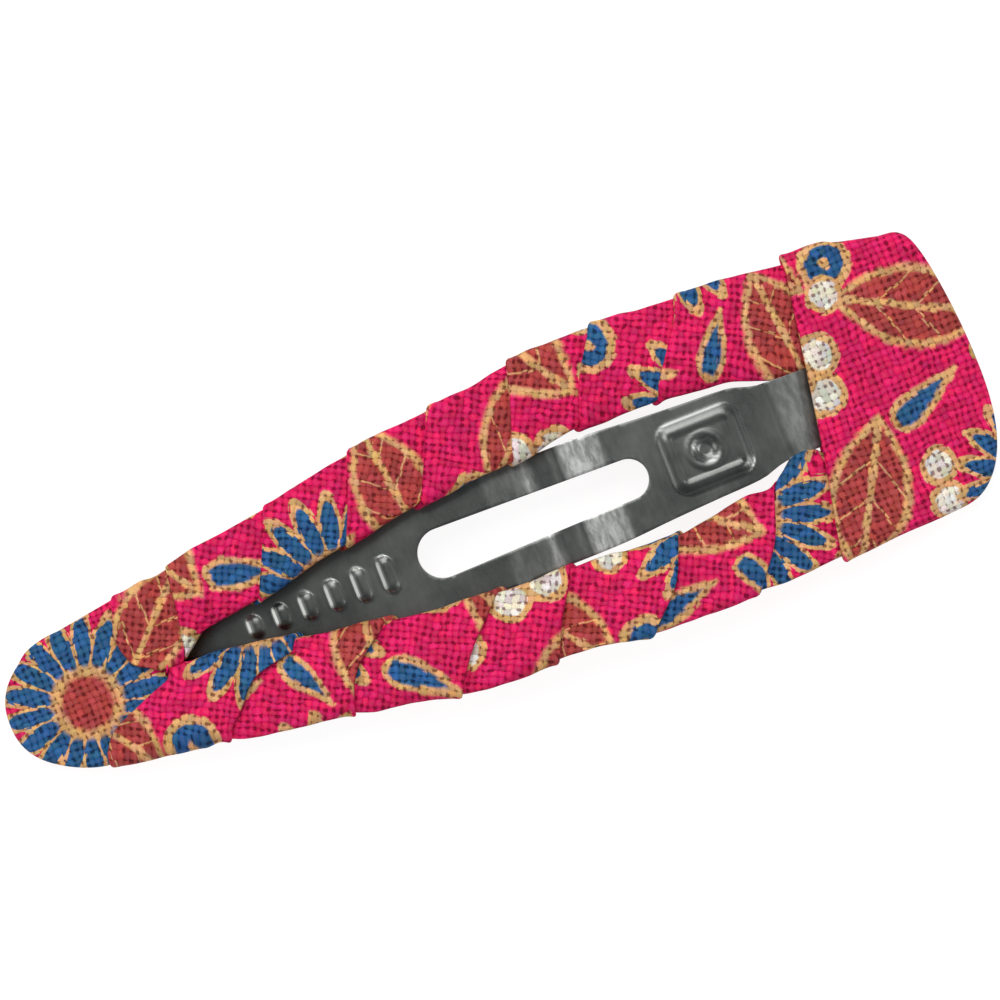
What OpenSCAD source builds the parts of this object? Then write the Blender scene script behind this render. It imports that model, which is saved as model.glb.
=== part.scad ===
// A snap hair clip: a stamped steel blank with a slotted tongue, bound in printed cotton.
// The clip is closed and lies display side up. X runs along it to the wide end, Z is up,
// and the origin is at the bottom, midway along the length and width.

/* [Steel blank] */
// Length of the blank, tip to wide end
blank_len = 60.4; // [56:0.2:66]
// Greatest width of the blank
blank_w = 17.8; // [16.6:0.1:19.6]
// Thickness of the sheet steel
sheet_t = 0.6; // [0.4:0.05:0.8]
// Height of the arch, from the blank's ends to its crown
arch_rise = 4; // [3.4:0.1:5]
// Length of the rounded tip
nose_len = 4; // [3.2:0.1:5]
// Length of the rounded corners of the wide end
corner_len = 4.2; // [3:0.1:5]
// Width of one arm
arm_w = 4.15; // [3.7:0.05:4.6]
// Distance from the tip to the front of the opening
opening_from_tip = 8.5; // [7.8:0.1:9.5]
// How far the opening runs on under the end band
opening_under_band = 0.6; // [0.5:0.05:1.2]

/* [Tongue] */
// Width of the root that carries the tongue
root_w = 4.8; // [4:0.1:5.2]
// Distance from the bend line of the tongue to the front edge of the end band
bend_to_band = 2.2; // [1.8:0.1:3]
// Length of the tongue, from its bend line
tongue_len = 42.8; // [40:0.2:44]
// Radius of the tongue's tip
tongue_tip_r = 1.15; // [0.9:0.05:1.5]
// Gap between the tongue and the cloth, where it lies between the arms
tongue_gap = 0.75; // [0.6:0.05:1]
// How far the tongue reaches under the cloth, where it lies under the arms
tongue_tuck = 0.95; // [0.6:0.05:1.2]
// Gap between the tongue and the cloth above it
tongue_clear = 0.18; // [0.12:0.02:0.4]
// Length of the slot
slot_len = 14.6; // [11:0.2:16]
// Width of the slot at its front end
slot_front_w = 3; // [2.2:0.1:3.4]
// Width of the slot at its back end
slot_back_w = 2.45; // [1.8:0.05:2.8]
// Distance from the bend line to the slot
slot_from_bend = 8.4; // [8:0.1:10]
// Running gap of the bend
bend_clear = 0.03; // [0.02:0.01:0.06]

/* [Pressed marks] */
// Height of the pressed marks
press_h = 0.15; // [0.1:0.01:0.2]
// Length of the pressed pad
pad_len = 5; // [4:0.1:5.4]
// Width of the pressed pad
pad_w = 4.3; // [3.4:0.1:4.6]
// Corner radius of the pad
pad_corner_r = 0.8; // [0.4:0.1:1.2]
// Distance from the bend line to the middle of the pad
pad_from_bend = 4.7; // [4.2:0.1:5]
// Diameter of the dimple in the pad
dimple_d = 1.6; // [1:0.1:2.4]
// Number of pressed beads
bead_count = 6; // [3:1:7]
// Distance from the bend line to the largest bead
bead_from_bend = 25; // [24.4:0.1:26]
// Spacing of the beads
bead_pitch = 1.7; // [1.5:0.05:1.9]
// Width of the largest bead, across the tongue
bead_w = 2.2; // [1.4:0.1:2.6]
// Length of a bead, along the tongue
bead_len = 0.8; // [0.5:0.1:1]

/* [Cloth] */
// Thickness of the wound cotton strip
cloth_t = 0.35; // [0.25:0.05:0.4]
// Gap between layers of cloth, and between cloth and steel
layer_gap = 0.06; // [0.05:0.01:0.1]
// How much the cloth swells up along the middle of a face
crown = 0.12; // [0:0.02:0.2]
// How far the cloth's underside dishes in along the middle of a face
underside_dish = 0.03; // [0.02:0.01:0.05]
// Thickness of the cap over the tip
cap_t = 0.35; // [0.25:0.05:0.5]
// Room left beyond the steel at the closed ends of the cloth
end_room = 0.25; // [0.2:0.05:0.4]
// Thickness of the cloth at the closed ends
end_t = 0.55; // [0.4:0.05:0.8]
// How far the cap reaches past the front of the opening, on the centre line
cap_reach = 0.9; // [0.5:0.1:1.2]
// How far the cap's edge falls back at its sides
cap_bow = 1.1; // [0.6:0.1:1.6]
// Thickness of the end band
band_t = 0.5; // [0.35:0.05:0.6]
// Length of the end band along the centre line
band_len = 9.5; // [9:0.1:11]
// Slant of the band's front edge, in degrees
band_slant = 10; // [0:1:14]
// Share of a turn that lies on the turn before it
lap_share = 0.28; // [0.15:0.01:0.32]
// Gap between the root and the cloth that bunches up beside it
bunch_gap = 0.15; // [0.1:0.05:0.4]

/* [Hidden] */

// Half the blank's width along it: share of its length from the tip, share of half its width
outline = [
    [0.066, 0.421], [0.136, 0.494], [0.225, 0.612], [0.325, 0.725], [0.422, 0.850], [0.521, 0.916],
    [0.621, 0.977], [0.690, 1.000], [0.770, 0.984], [0.848, 0.955], [0.930, 0.933]
];
// Width of an arm: share of the blank's length from the tip, share of arm_w
arm = [
    [0.140, 0.900], [0.225, 0.916], [0.325, 0.930], [0.422, 1.000], [0.521, 0.975], [0.621, 0.965],
    [0.720, 1.030], [0.827, 1.070], [0.880, 1.070]
];
// Side of the tongue: share of its length from the bend line, share of tongue_gap it keeps from
// the cloth, share of tongue_tuck it reaches under the cloth
tongue_side = [
    [0.000, 1.10, 0.00], [0.058, 0.90, 0.00], [0.122, 0.98, 0.00], [0.190, 0.96, 0.00],
    [0.262, 0.60, 0.00], [0.332, 0.20, 0.00], [0.420, 0.00, 0.35], [0.542, 0.00, 0.86],
    [0.680, 0.00, 0.95], [0.800, 0.00, 1.05]
];
// How far the tongue lies below the arms: share of its length, share of its full drop
tongue_dip = [
    [0.00, 0.00], [0.10, 0.10], [0.22, 0.30], [0.29, 0.52], [0.36, 0.97], [0.50, 1.06],
    [0.75, 1.06], [1.00, 1.10]
];
// Folded edges of the upper strip, from the tip: share of the way from the front of the opening
// to the end band, at the arm's inner edge and at its outer edge. The strip starts under the arm
// in the first row and ends there in the last, where only one of the two places is used.
upper_edges = [
    [0.010, -0.075], [0.021, -0.021], [0.052, 0.080], [0.184, 0.226], [0.325, 0.363], [0.443, 0.488],
    [0.585, 0.616], [0.689, 0.738], [0.814, 0.868], [0.988, 1.078], [0.998, 1.080]
];
// The same for the lower strip, which is wound from the wide end
lower_edges = [
    [1.030, 1.060], [0.995, 0.998], [0.901, 0.840], [0.752, 0.684], [0.592, 0.542], [0.483, 0.401],
    [0.321, 0.250], [0.196, 0.078], [0.050, -0.103], [0.033, -0.104]
];
// Round the cloth's section, from the inner edge over the top: share of the way across, side of
// the sheet, and the way the cloth stands off it across and up
section = [
    [0, 1, 0, 1], [1 / 3, 1, 0, 1], [2 / 3, 1, 0, 1], [1, 1, 0, 1], [1, 1, 0.707, 0.707],
    [1, 1, 1, 0], [1, -1, 1, 0], [1, -1, 0.707, -0.707], [1, -1, 0, -1], [2 / 3, -1, 0, -1],
    [1 / 3, -1, 0, -1], [0, -1, 0, -1], [0, -1, -0.707, -0.707], [0, -1, -1, 0], [0, 1, -1, 0],
    [0, 1, -0.707, 0.707]
];
top_last = 3;
outer_last = 8;
bottom_last = 11;
// Along one turn of strip: share of the turn, share of the lift over the turn before
turn_fall = [[0.48, 0.42], [0.68, 0.10], [0.86, 0.00]];
// The strip's far edge ends this share of the next turn's lap past that turn's folded edge
under_lap = 0.85;
// The strip comes down off the cap, and swells out beside the root, over these lengths
cap_run = 1;
bunch_run = 1;
arm_min_y = 0.2;
settle_share = 0.75;
bead_taper = 0.5;
corner_power = 3.2;
taper_share = 0.80;
body_steps = 26;
tongue_steps = 30;
arc_step = 15;
extrude_h = 40;

tip_x = -blank_len / 2;
end_x = blank_len / 2;
nose_x = tip_x + nose_len;
corner_x = end_x - corner_len;
opening_x = tip_x + opening_from_tip;
cap_end_x = opening_x + cap_reach;
band_x = end_x - band_len;
opening_end_x = band_x + opening_under_band;
bend_x = band_x - bend_to_band;
lap_rise = cloth_t + layer_gap;
cloth_stack = layer_gap + cloth_t + lap_rise;
tongue_drop = sheet_t + cloth_stack + tongue_clear;
end_z = sheet_t / 2 + layer_gap + band_t;
arch_r = (end_x * end_x + arch_rise * arch_rise) / (2 * arch_rise);
arch_centre_z = end_z + arch_rise - arch_r;

// A smooth curve through column c of a table, at x in column 0
function at(t, i) = t[max(0, min(len(t) - 1, i))];
function row_of(t, x, i = 0) = i >= len(t) - 2 || x < t[i + 1][0] ? i : row_of(t, x, i + 1);
function slope(t, c, i) = (at(t, i + 1)[c] - at(t, i - 1)[c]) / (at(t, i + 1)[0] - at(t, i - 1)[0]);
function smooth(t, c, x) =
    let (
        i = row_of(t, x),
        gap = t[i + 1][0] - t[i][0],
        u = max(0, min(1, (x - t[i][0]) / gap)),
        rise = t[i + 1][c] - t[i][c],
        a = slope(t, c, i) * gap,
        b = slope(t, c, i + 1) * gap
    )
    t[i][c] + u * (a + u * (3 * rise - 2 * a - b + u * (a + b - 2 * rise)));
function mix(a, b, share) = a + (b - a) * share;
function ease(x, from, to) = let (u = max(0, min(1, (x - from) / (to - from)))) u * u * (3 - 2 * u);
function blank_share(x) = (x - tip_x) / blank_len;
function both_sides(side) = concat(side, [for (i = [len(side) - 1:-1:0]) [side[i][0], -side[i][1]]]);

// Height of the sheet's middle, and the blank's outer and inner edges, at x
function arch_z(x) = arch_centre_z + sqrt(arch_r * arch_r - x * x);
function outer_y(x) = blank_w / 2 * smooth(outline, 1, blank_share(x));
function inner_y(x) = outer_y(x) - arm_w * smooth(arm, 1, blank_share(x));

// Rounded tip and rounded wide end, let out by room, as points of one side
function nose_at(angle, room) = [nose_x - (nose_len + room) * cos(angle), outer_y(nose_x) * sin(angle)];
function corner_at(angle, room) = [
    corner_x + (corner_len + room) * pow(cos(angle), 2 / corner_power),
    outer_y(corner_x) * pow(sin(angle), 2 / corner_power)
];
function steps(from, to, count) = [for (i = [1:count - 1]) mix(from, to, i / count)];

blank_side = concat(
    [for (a = [arc_step / 2:arc_step / 2:90]) nose_at(a, 0)],
    [for (x = steps(nose_x, corner_x, body_steps)) [x, outer_y(x)]],
    [for (a = [90:-arc_step / 2:arc_step / 2]) corner_at(a, 0)]
);

// The opening: a round front, two long sides, and a round notch on each side of the root
apex_r = inner_y(opening_x + inner_y(opening_x));
apex_x = opening_x + apex_r;
notch_r = (inner_y(opening_end_x) - root_w / 2) / 2;
notch_x = opening_end_x - notch_r;
notch_y = root_w / 2 + notch_r;
opening_side = concat(
    [for (a = [180 - arc_step / 2:-arc_step:90]) [apex_x + apex_r * cos(a), apex_r * sin(a)]],
    [for (x = steps(apex_x, notch_x, body_steps)) [x, inner_y(x)]],
    [for (a = [90 - arc_step:-arc_step:-90]) [notch_x + notch_r * cos(a), notch_y + notch_r * sin(a)]],
    [[bend_x, root_w / 2]]
);

// The tongue: half its width, and the height of its middle, at x
tongue_tip_x = bend_x - tongue_len;
tip_round_x = tongue_tip_x + tongue_tip_r;
taper_x = bend_x - taper_share * tongue_len;
function tongue_share(x) = (bend_x - x) / tongue_len;
function free_half(x) =
    inner_y(x) - cloth_stack - tongue_gap * smooth(tongue_side, 1, tongue_share(x))
    + tongue_tuck * smooth(tongue_side, 2, tongue_share(x));
function tongue_half(x) =
    x > taper_x
    ? mix(free_half(x), root_w / 2, ease(x, bend_x - bend_to_band, bend_x))
    : mix(tongue_tip_r, free_half(taper_x), (x - tip_round_x) / (taper_x - tip_round_x));
function tongue_z(x) = arch_z(x) - tongue_drop * smooth(tongue_dip, 1, tongue_share(x));
tongue_outline = concat(
    [[bend_x, root_w / 2]],
    [for (x = steps(bend_x, tip_round_x, tongue_steps)) [x, tongue_half(x)]],
    [
        for (a = [90:arc_step:180 - arc_step])
            [tip_round_x + tongue_tip_r * cos(a), tongue_tip_r * sin(a)]
    ]
);

module pressed_sheet(low, high) {
    xs = concat([bend_x], steps(bend_x, tongue_tip_x, tongue_steps), [tongue_tip_x]);
    rotate([90, 0, 0])
        linear_extrude(extrude_h, center = true)
            polygon(concat(
                [for (x = xs) [x, tongue_z(x) + high]],
                [for (i = [len(xs) - 1:-1:0]) [xs[i], tongue_z(xs[i]) + low]]
            ));
}

module slot() {
    front_r = slot_front_w / 2;
    back_r = slot_back_w / 2;
    back_x = bend_x - slot_from_bend - back_r;
    front_x = bend_x - slot_from_bend - slot_len + front_r;
    translate([back_x, 0]) circle(back_r, $fn = 48);
    translate([front_x, 0]) circle(front_r, $fn = 48);
    polygon([[back_x, -back_r], [back_x, back_r], [front_x, front_r], [front_x, -front_r]]);
}

module rounded_plate(length, width, r) {
    square([length - 2 * r, width], center = true);
    square([length, width - 2 * r], center = true);
    for (sx = [-1, 1], sy = [-1, 1])
        translate([sx * (length / 2 - r), sy * (width / 2 - r)]) circle(r, $fn = 32);
}

module bead(width) {
    square([bead_len, width - bead_len], center = true);
    for (side = [-1, 1])
        translate([0, side * (width - bead_len) / 2]) circle(bead_len / 2, $fn = 32);
}

module pressed_marks() {
    translate([bend_x - pad_from_bend, 0])
        difference() {
            rounded_plate(pad_len, pad_w, pad_corner_r);
            circle(d = dimple_d, $fn = 32);
        }
    for (i = [0:bead_count - 1])
        translate([bend_x - bead_from_bend - i * bead_pitch, 0])
            bead(bead_w * (1 - bead_taper * i / bead_count));
}

// The stamped blank: the plan cut from a sheet that is bent to the arch
module steel_frame() {
    color([0.33, 0.34, 0.34])
        difference() {
            intersection() {
                linear_extrude(extrude_h)
                    difference() {
                        polygon(both_sides(blank_side));
                        polygon(both_sides(opening_side));
                    }
                translate([0, 0, arch_centre_z])
                    rotate([90, 0, 0])
                        linear_extrude(extrude_h, center = true)
                            difference() {
                                circle(arch_r + sheet_t / 2, $fn = 720);
                                circle(arch_r - sheet_t / 2, $fn = 720);
                            }
            }
            translate([bend_x, 0, arch_z(bend_x)])
                rotate([90, 0, 0])
                    cylinder(r = sheet_t / 2 + bend_clear, h = root_w + sheet_t, center = true, $fn = 64);
        }
}

// The sprung tongue, with its slot, its rounded bend and its pressed marks
module steel_tongue() {
    color([0.40, 0.41, 0.41]) {
        intersection() {
            pressed_sheet(-sheet_t / 2, sheet_t / 2);
            linear_extrude(extrude_h)
                difference() {
                    polygon(both_sides(tongue_outline));
                    slot();
                }
        }
        intersection() {
            pressed_sheet(0, sheet_t / 2 + press_h);
            linear_extrude(extrude_h) pressed_marks();
        }
        translate([bend_x, 0, arch_z(bend_x)])
            rotate([90, 0, 0])
                cylinder(r = sheet_t / 2, h = root_w, center = true, $fn = 64);
    }
}

// A closed skin through rings that have as many points each
module skin(rings) {
    n = len(rings[0]);
    last = len(rings) - 1;
    polyhedron(
        points = [for (ring = rings) each ring],
        faces = concat(
            [[for (i = [n - 1:-1:0]) i]],
            [
                for (j = [0:last - 1], i = [0:n - 1], half = [0, 1])
                    let (a = j * n + i, b = j * n + (i + 1) % n)
                    half == 0 ? [a, b, b + n] : [a, b + n, a + n]
            ],
            [[for (i = [0:n - 1]) last * n + i]]
        )
    );
}

// One point of cloth: k steps round the section, h off the sheet, between the edges y0 and y1
function cloth_point(k, x, y0, y1, h, flat = 1) =
    let (
        s = section[k],
        swell = (s[1] > 0 ? crown : -underside_dish) * 4 * s[0] * (1 - s[0])
    )
    [x, mix(y0, y1, s[0]) + s[2] * h, arch_z(x) + flat * (s[1] * sheet_t / 2 + s[3] * (h + swell))];

// A ring round the whole clip, for the cap and the band
function clip_ring(x, half, h, flat = 1, slant = 0, bow = 0) = [
    for (k = [0:len(section) - 1])
        let (
            across = 2 * section[k][0] - 1,
            px = x + slant * across * half + bow * (1 - abs(across))
        )
        cloth_point(k, px, -half, half, h, flat)
];
function flatter(angle) = pow(sin(angle), 0.25);

// The cap over the tip: from its closed end outside, out to its edge, and back inside
module tip_cover() {
    edge_x = cap_end_x - cap_bow;
    inside = layer_gap;
    outside = layer_gap + cap_t;
    angles = [6, 20, 36, 52, 70, 86];
    color([0.85, 0.10, 0.38])
        skin(concat(
            [
                for (a = angles)
                    let (p = nose_at(a, end_room + end_t))
                    clip_ring(p[0], p[1], outside, flatter(a))
            ],
            [for (x = steps(nose_x, edge_x, 2)) clip_ring(x, outer_y(x), outside)],
            [clip_ring(edge_x, outer_y(edge_x), outside, bow = cap_bow)],
            [clip_ring(edge_x, outer_y(edge_x), inside, bow = cap_bow)],
            [for (x = steps(edge_x, nose_x, 2)) clip_ring(x, outer_y(x), inside)],
            [
                for (i = [len(angles) - 1:-1:0])
                    let (p = nose_at(angles[i], end_room))
                    clip_ring(p[0], p[1], inside)
            ]
        ));
}

// The band over the wide end, raised at its front where it lies on the wound strips
module end_band() {
    slant = tan(band_slant);
    raised = layer_gap + cloth_t + crown + layer_gap;
    settle_x = mix(band_x, corner_x, settle_share);
    angles = [90, 80, 70, 58, 46, 32, 18, 7];
    color([0.90, 0.10, 0.40])
        skin(concat(
            [
                for (i = [len(angles) - 1:-1:0])
                    let (p = corner_at(angles[i], end_room))
                    clip_ring(p[0], p[1], layer_gap)
            ],
            [clip_ring(settle_x, outer_y(settle_x), raised, slant = slant / 2)],
            [clip_ring(band_x, outer_y(band_x), raised, slant = slant)],
            [clip_ring(band_x, outer_y(band_x), raised + cloth_t, slant = slant)],
            [clip_ring(settle_x, outer_y(settle_x), raised + cloth_t, slant = slant / 2)],
            [
                for (a = angles)
                    let (p = corner_at(a, end_room + end_t))
                    clip_ring(p[0], p[1], layer_gap + band_t, flatter(a))
            ]
        ));
}

// Where the folded edge of turn n lies, k steps round the section
function edge_x(edges, n, k) =
    let (
        across = section[k][0],
        row = edges[n],
        next = at(edges, n + 1),
        share = k <= top_last ? mix(row[0], row[1], across)
            : k <= outer_last ? row[1]
            : k <= bottom_last ? mix(next[0], row[1], across)
            : next[0]
    )
    mix(opening_x, band_x, share);

// A point of a wound strip, where the tip's cap and the bunched cloth push it off the arm
function wrap_point(side, k, x, h) =
    let (
        over_cap = k > bottom_last ? 0 : 1 - ease(x, cap_end_x + 0.5 * cap_run, cap_end_x + 1.5 * cap_run),
        capped = over_cap * (cap_t + layer_gap + (section[k][1] > 0 ? crown : 0)),
        room = inner_y(x) - cloth_stack - root_w / 2 - bunch_gap,
        bunched = max(0, -section[k][2]) * room * ease(x, bend_x - 0.6 * bunch_run, bend_x + 0.4 * bunch_run),
        p = cloth_point(k, x, max(inner_y(x), arm_min_y), outer_y(x), h + capped)
    )
    [p[0], side * (p[1] - bunched), p[2]];

// The strip's own section at one step of a turn: its folded edge lies on the turn before,
// its other edge lies on the arm under the turn that follows
function strip_ring(side, edges, n, k) =
    let (
        turns = len(edges) - 2,
        x0 = edge_x(edges, n, k),
        x3 = edge_x(edges, n + 1, k),
        x4 = n + 1 < turns ? edge_x(edges, n + 2, k) : x3,
        way = x3 > x0 ? 1 : -1,
        end = n == 0 ? x3 - way * layer_gap : x3 + under_lap * lap_share * (x4 - x3),
        lift = n < 2 ? 0 : lap_rise,
        fall = concat([[0, 1], [lap_share, 1]], turn_fall),
        places = concat([for (f = fall) [mix(x0, x3, f[0]), layer_gap + lift * f[1]]], [[end, layer_gap]]),
        low = [for (p = places) wrap_point(side, k, p[0], p[1])],
        high = [for (p = places) wrap_point(side, k, p[0], p[1] + cloth_t)]
    )
    concat(low, [for (i = [len(high) - 1:-1:0]) high[i]]);

module wound_strip(side, edges) {
    count = len(section);
    turns = len(edges) - 2;
    rings = [for (i = [outer_last:turns * count - 1]) strip_ring(side, edges, floor(i / count), i % count)];
    skin(rings);
}

module upper_wrap() {
    color([0.92, 0.12, 0.42]) wound_strip(1, upper_edges);
}

module lower_wrap() {
    color([0.88, 0.08, 0.38]) wound_strip(-1, lower_edges);
}

steel_frame();
steel_tongue();
tip_cover();
upper_wrap();
lower_wrap();
end_band();
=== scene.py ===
import math

import bmesh
import bpy
import numpy as np
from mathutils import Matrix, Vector
from mathutils.geometry import delaunay_2d_cdt


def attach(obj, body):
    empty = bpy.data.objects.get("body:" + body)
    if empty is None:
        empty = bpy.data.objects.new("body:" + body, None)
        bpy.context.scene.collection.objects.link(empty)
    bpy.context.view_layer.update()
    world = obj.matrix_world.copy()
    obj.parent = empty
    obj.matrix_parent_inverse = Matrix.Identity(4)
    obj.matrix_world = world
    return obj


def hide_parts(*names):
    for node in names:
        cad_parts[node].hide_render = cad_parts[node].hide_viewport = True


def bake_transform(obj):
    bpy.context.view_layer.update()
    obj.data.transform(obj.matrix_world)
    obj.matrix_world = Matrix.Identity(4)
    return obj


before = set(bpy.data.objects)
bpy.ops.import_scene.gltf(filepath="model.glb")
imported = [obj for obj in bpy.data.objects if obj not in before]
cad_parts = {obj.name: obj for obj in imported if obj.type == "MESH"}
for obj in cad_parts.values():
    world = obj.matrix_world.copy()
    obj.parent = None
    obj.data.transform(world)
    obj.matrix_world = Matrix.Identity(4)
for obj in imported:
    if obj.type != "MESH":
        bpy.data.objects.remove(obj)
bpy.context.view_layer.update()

# Camera, board and lamps
# The clip lies on a luminous white board, display side up, and is seen from straight above
# with its wide end turned up to the right. All lengths below are millimetres until MM is used.
MM = 0.001
scene = bpy.context.scene
scene.view_settings.view_transform = "Standard"


def set_up(thing, **settings):
    for name, value in settings.items():
        setattr(thing, name, value)
    return thing


def placed(name, data, **settings):
    """A new object in the scene, with its settings."""
    thing = set_up(bpy.data.objects.new(name, data), **settings)
    scene.collection.objects.link(thing)
    return thing


view_turn = math.radians(-21.5)
view_centre = (1.33, 1.67)
view_height = 334.5
camera_data = set_up(bpy.data.cameras.new("camera_above"), lens=200, sensor_width=36, clip_start=0.01)
scene.camera = placed(
    "camera_above", camera_data, rotation_euler=(0, 0, view_turn),
    location=(view_centre[0] * MM, view_centre[1] * MM, view_height * MM))


def fill(node, values):
    """Fill a node's inputs, by name or number, with plain values or sockets; None stays as it is."""
    for label, value in values:
        if isinstance(value, bpy.types.NodeSocket):
            value.id_data.links.new(value, node.inputs[label])
        elif value is not None:
            node.inputs[label].default_value = value


def put(tree, kind, operation=None, inputs=(), output=0, **settings):
    """Add a node, fill its inputs with numbers or sockets, and give back one output."""
    node = set_up(tree.nodes.new(kind), **settings)
    if operation:
        node.operation = operation
    fill(node, enumerate(inputs))
    return node.outputs[output]


def tree_of(values):
    """The node tree of the first socket among some values."""
    return next(value.id_data for value in values if isinstance(value, bpy.types.NodeSocket))


def calc(operation, *inputs):
    return put(tree_of(inputs), "ShaderNodeMath", operation, inputs)


def plus(first, second):
    return calc("ADD", first, second)


def minus(first, second):
    return calc("SUBTRACT", first, second)


def times(first, second):
    return calc("MULTIPLY", first, second)


def length_of(across, along):
    return calc("SQRT", plus(times(across, across), times(along, along)))


def between(share, first, second):
    """The first value at share 0, the second at share 1."""
    return plus(first, times(share, minus(second, first)))


def vector_calc(operation, *inputs):
    return put(tree_of(inputs), "ShaderNodeVectorMath", operation, inputs)


def scaled(vector, *by):
    return vector_calc("MULTIPLY", vector, by)


def xyz(*parts):
    return put(tree_of(parts), "ShaderNodeCombineXYZ", inputs=parts)


def parts_of(vector):
    return put(vector.id_data, "ShaderNodeSeparateXYZ", inputs=(vector,)).node.outputs


def blend_colour(share, first, second, way="MIX"):
    tree = tree_of((share, first, second))
    node = put(tree, "ShaderNodeMix", data_type="RGBA", blend_type=way).node
    fill(node, ((0, share), (6, first), (7, second)))
    return node.outputs[2]


def ramp(value, low, high, low_out=0.0, high_out=1.0):
    """A soft step of a value, from low_out at low to high_out at high."""
    return put(value.id_data, "ShaderNodeMapRange", None, (value, low, high, low_out, high_out),
               interpolation_type="SMOOTHSTEP")


def noise(place, scale, detail=3.0, rough=0.55, colour=False):
    return put(place.id_data, "ShaderNodeTexNoise", inputs=(place, None, scale, detail, rough),
               output="Color" if colour else "Fac")


def random_at(place, output=1):
    """Random numbers for each whole place: three of them, or one with output 0."""
    return put(place.id_data, "ShaderNodeTexWhiteNoise", inputs=(place,), output=output)


def bumped(shader, height, strength, distance):
    """Let a height in the finish tilt the surface; the distance is in metres."""
    node = put(height.id_data, "ShaderNodeBump").node
    fill(node, (("Strength", strength), ("Distance", distance), ("Height", height)))
    fill(shader, (("Normal", node.outputs[0]),))


def spaced(values):
    return [(label.replace("_", " "), value) for label, value in values.items()]


def new_finish(name, **sockets):
    """A material with one Principled shader; constants go straight on its sockets."""
    material = bpy.data.materials.new(name)
    material.use_nodes = True
    tree = material.node_tree
    shader = tree.nodes["Principled BSDF"]
    fill(shader, spaced(sockets))
    return material, tree, shader


def new_group(name, takes, gives, kind="ShaderNodeTree"):
    """A node group with named inputs (name, kind, value) and outputs (name, kind)."""
    group = bpy.data.node_groups.new(name, kind)
    for label, holds, value in takes:
        socket = group.interface.new_socket(label, in_out="INPUT", socket_type="NodeSocket" + holds)
        if value is not None:
            socket.default_value = value
    for label, holds in gives:
        group.interface.new_socket(label, in_out="OUTPUT", socket_type="NodeSocket" + holds)
    return group, group.nodes.new("NodeGroupInput").outputs, group.nodes.new("NodeGroupOutput")


def give(outputs, *values):
    fill(outputs, enumerate(values))


def use_group(tree, group, **values):
    node = put(tree, "ShaderNodeGroup", node_tree=group).node
    fill(node, spaced(values))
    return node.outputs


board_material, _, _ = new_finish(
    "white_board", Base_Color=(0.20, 0.20, 0.20, 1), Roughness=0.9,
    Emission_Color=(1, 1, 1, 1), Emission_Strength=0.88)
board_half = 1.5
board_mesh = bpy.data.meshes.new("white_board")
board_corners = [(-board_half, -board_half, 0), (board_half, -board_half, 0),
                 (board_half, board_half, 0), (-board_half, board_half, 0)]
board_mesh.from_pydata(board_corners, [], [(0, 1, 2, 3)])
board_mesh.materials.append(board_material)
board = placed("white_board", board_mesh)

world = bpy.data.worlds.new("pale_room")
world.use_nodes = True
room_light = (("Color", (0.92, 0.96, 1.0, 1)), ("Strength", 0.26))
fill(world.node_tree.nodes["Background"], room_light)
scene.world = world

# Lamp: name, place in metres, size in metres, power in watts
lamps = [
    ("soft_box_above", (0.02, 0.30, 0.55), 0.40, 2.75),
    ("soft_box_left", (-0.45, 0.05, 0.35), 0.30, 0.70),
    ("soft_box_right", (0.34, -0.16, 0.42), 0.20, 0.55),
]
for lamp_name, lamp_place, lamp_size, lamp_power in lamps:
    lamp_data = set_up(bpy.data.lights.new(lamp_name, "AREA"), size=lamp_size, energy=lamp_power)
    toward_clip = (-Vector(lamp_place)).to_track_quat("-Z", "Y").to_euler()
    placed(lamp_name, lamp_data, location=lamp_place, rotation_euler=toward_clip)

# Steel blank and tongue
# The real clip is one stamped sheet of spring steel: two arms round a long opening, and a
# slotted tongue pressed down under them from the root. It is bent at the root as it opens.
blank_len = 60.4
blank_w = 17.8
sheet_t = 0.6
arch_rise = 4.0
nose_len = 4.0
corner_len = 4.2
arm_w = 4.15
root_w = 4.8
tongue_len = 42.8
tongue_tip_r = 1.15
tongue_taper = 0.8
slot_ends = (-4.5, 10.1)
slot_radii = (1.5, 1.225)
tip_x = -blank_len / 2
end_x = blank_len / 2
nose_x = tip_x + nose_len
corner_x = end_x - corner_len
opening_x = tip_x + 8.5
band_x = end_x - 9.5
opening_end_x = band_x + 0.6
root_len = 2.2
bend_x = band_x - root_len
shoulder_len = 2.2
end_z = 0.86
arch_r = (end_x ** 2 + arch_rise ** 2) / (2 * arch_rise)
cloth_stack = 0.82

# Half the blank's width: share of its length from the tip, share of half its width
outline = [
    (0.066, 0.421), (0.136, 0.494), (0.225, 0.612), (0.325, 0.725), (0.422, 0.850), (0.521, 0.916),
    (0.621, 0.977), (0.690, 1.000), (0.770, 0.984), (0.848, 0.955), (0.930, 0.933)]
# Width of an arm: share of the blank's length from the tip, share of the full arm
arm = [
    (0.140, 0.900), (0.225, 0.916), (0.325, 0.930), (0.422, 1.000), (0.521, 0.975), (0.621, 0.965),
    (0.720, 1.030), (0.827, 1.070), (0.880, 1.070)]
# Side of the tongue: share of its length from the bend, millimetres it keeps inside the cloth
tongue_side = [
    (0.000, 0.83), (0.058, 0.68), (0.122, 0.74), (0.190, 0.72), (0.262, 0.45), (0.332, 0.15),
    (0.420, -0.33), (0.542, -0.82), (0.680, -0.90), (0.800, -1.00)]
# Bends of the tongue: place along the clip, how far it has dropped below the arms
tongue_bends = [
    (-24.3, 1.76), (-13.0, 1.70), (-3.0, 1.70), (0.55, 1.66), (3.24, 1.54), (4.0, 1.42),
    (5.5, 0.96), (8.08, 0.56), (bend_x, 0.0)]
bend_softness = 0.30


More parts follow.
